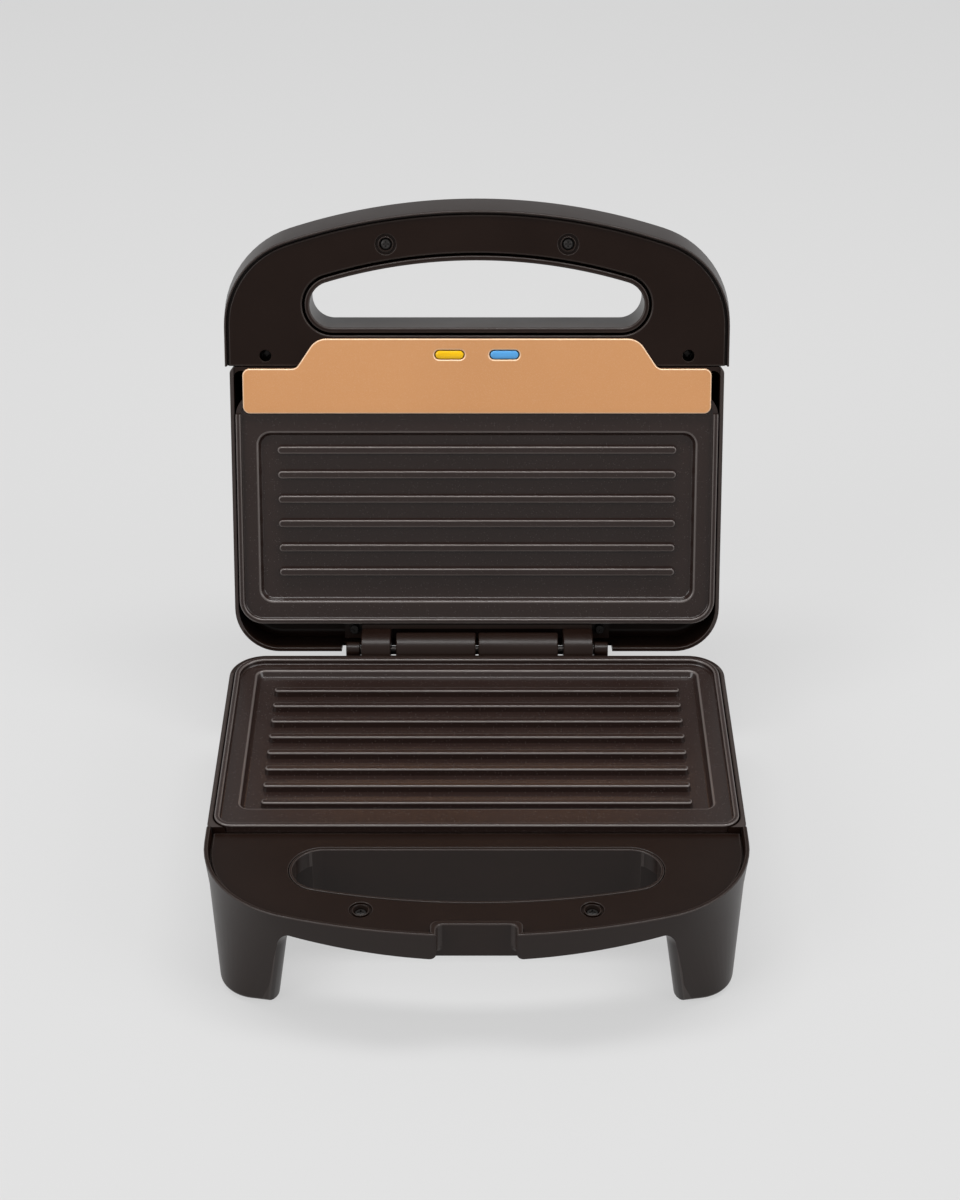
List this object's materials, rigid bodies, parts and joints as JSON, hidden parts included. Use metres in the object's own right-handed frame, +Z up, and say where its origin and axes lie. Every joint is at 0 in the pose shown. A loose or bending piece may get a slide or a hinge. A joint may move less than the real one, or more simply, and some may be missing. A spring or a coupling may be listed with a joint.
{
  "type": "sandwich maker",
  "caption": "Open hinged sandwich maker: ribbed plates, arched handles with hand openings, copper-coloured panel, tapering legs; the lid turns down onto the base.",
  "frame": {"origin": "centre of the footprint of the open object, on the surface it stands on", "axes": "+Z up, -Y towards the user (front), +X to the user's right"},
  "size_m": [0.2324, 0.302, 0.2404],
  "materials": {
    "casing_plastic": "fine satin grain, black-brown",
    "cover_plastic": "fine satin grain, black",
    "plate_coating": "dark non-stick coating, semi-gloss",
    "copper_paint": "copper-coloured metallic paint",
    "yellow_lens_plastic": "clear yellow, polished",
    "blue_lens_plastic": "clear blue, polished",
    "lamp_glass": "clear",
    "steel": "bright plated",
    "dark_steel": "blackened, satin",
    "shield_metal": "bright sheet",
    "heater_steel": "oxidised tube",
    "rubber": "matt",
    "white_ceramic": "unglazed",
    "lead_sleeve": "glass-fibre sleeve"
  },
  "bodies": {
    "base": {"base_shell": "casing_plastic", "base_bottom_cover": "casing_plastic", "base_handle_shell": "casing_plastic", "base_handle_cover": "cover_plastic", "lower_plate": "plate_coating", "lower_heater": "heater_steel", "lower_reflector": "shield_metal", "thermostat": "white_ceramic", "thermal_fuse": "white_ceramic", "terminal_block": "white_ceramic", "thermostat_lead": "lead_sleeve", "fuse_lead": "lead_sleeve", "heater_lead": "lead_sleeve", "return_lead": "lead_sleeve", "hinge_housing": "casing_plastic", "hinge_pin": "steel", "cord_gland": "rubber", "rear_pad_left": "rubber", "rear_pad_right": "rubber", "front_pad_left": "rubber", "front_pad_right": "rubber", "bottom_screw_rear_left": "steel", "bottom_screw_rear_right": "steel", "bottom_screw_front_left": "steel", "bottom_screw_front_right": "steel", "base_handle_screw_left": "dark_steel", "base_handle_screw_right": "dark_steel", "lower_plate_screw_left": "steel", "lower_plate_screw_right": "steel", "housing_screw_left": "steel", "housing_screw_right": "steel"},
    "lid": {"lid_shell": "casing_plastic", "lid_handle_shell": "casing_plastic", "lid_handle_cover": "cover_plastic", "copper_panel": "copper_paint", "upper_plate": "plate_coating", "upper_heater": "heater_steel", "upper_reflector": "shield_metal", "lid_hinge_bracket": "casing_plastic", "yellow_lens": "yellow_lens_plastic", "blue_lens": "blue_lens_plastic", "yellow_lamp": "lamp_glass", "blue_lamp": "lamp_glass", "lamp_holder": "cover_plastic", "lamp_lead_left": "lead_sleeve", "lamp_lead_right": "lead_sleeve", "lid_handle_screw_left": "dark_steel", "lid_handle_screw_right": "dark_steel", "lid_corner_screw_left": "dark_steel", "lid_corner_screw_right": "dark_steel", "hinge_bracket_screw_left": "dark_steel", "hinge_bracket_screw_right": "dark_steel", "upper_plate_screw_left": "steel", "upper_plate_screw_right": "steel"}
  },
  "joints": [
    {"name": "lid_hinge", "type": "hinge", "parent": "base", "child": "lid", "pos_m": [0, 0.05457, 0.0521], "axis": [1, 0, 0], "range_deg": [0, 109.4]}
  ]
}
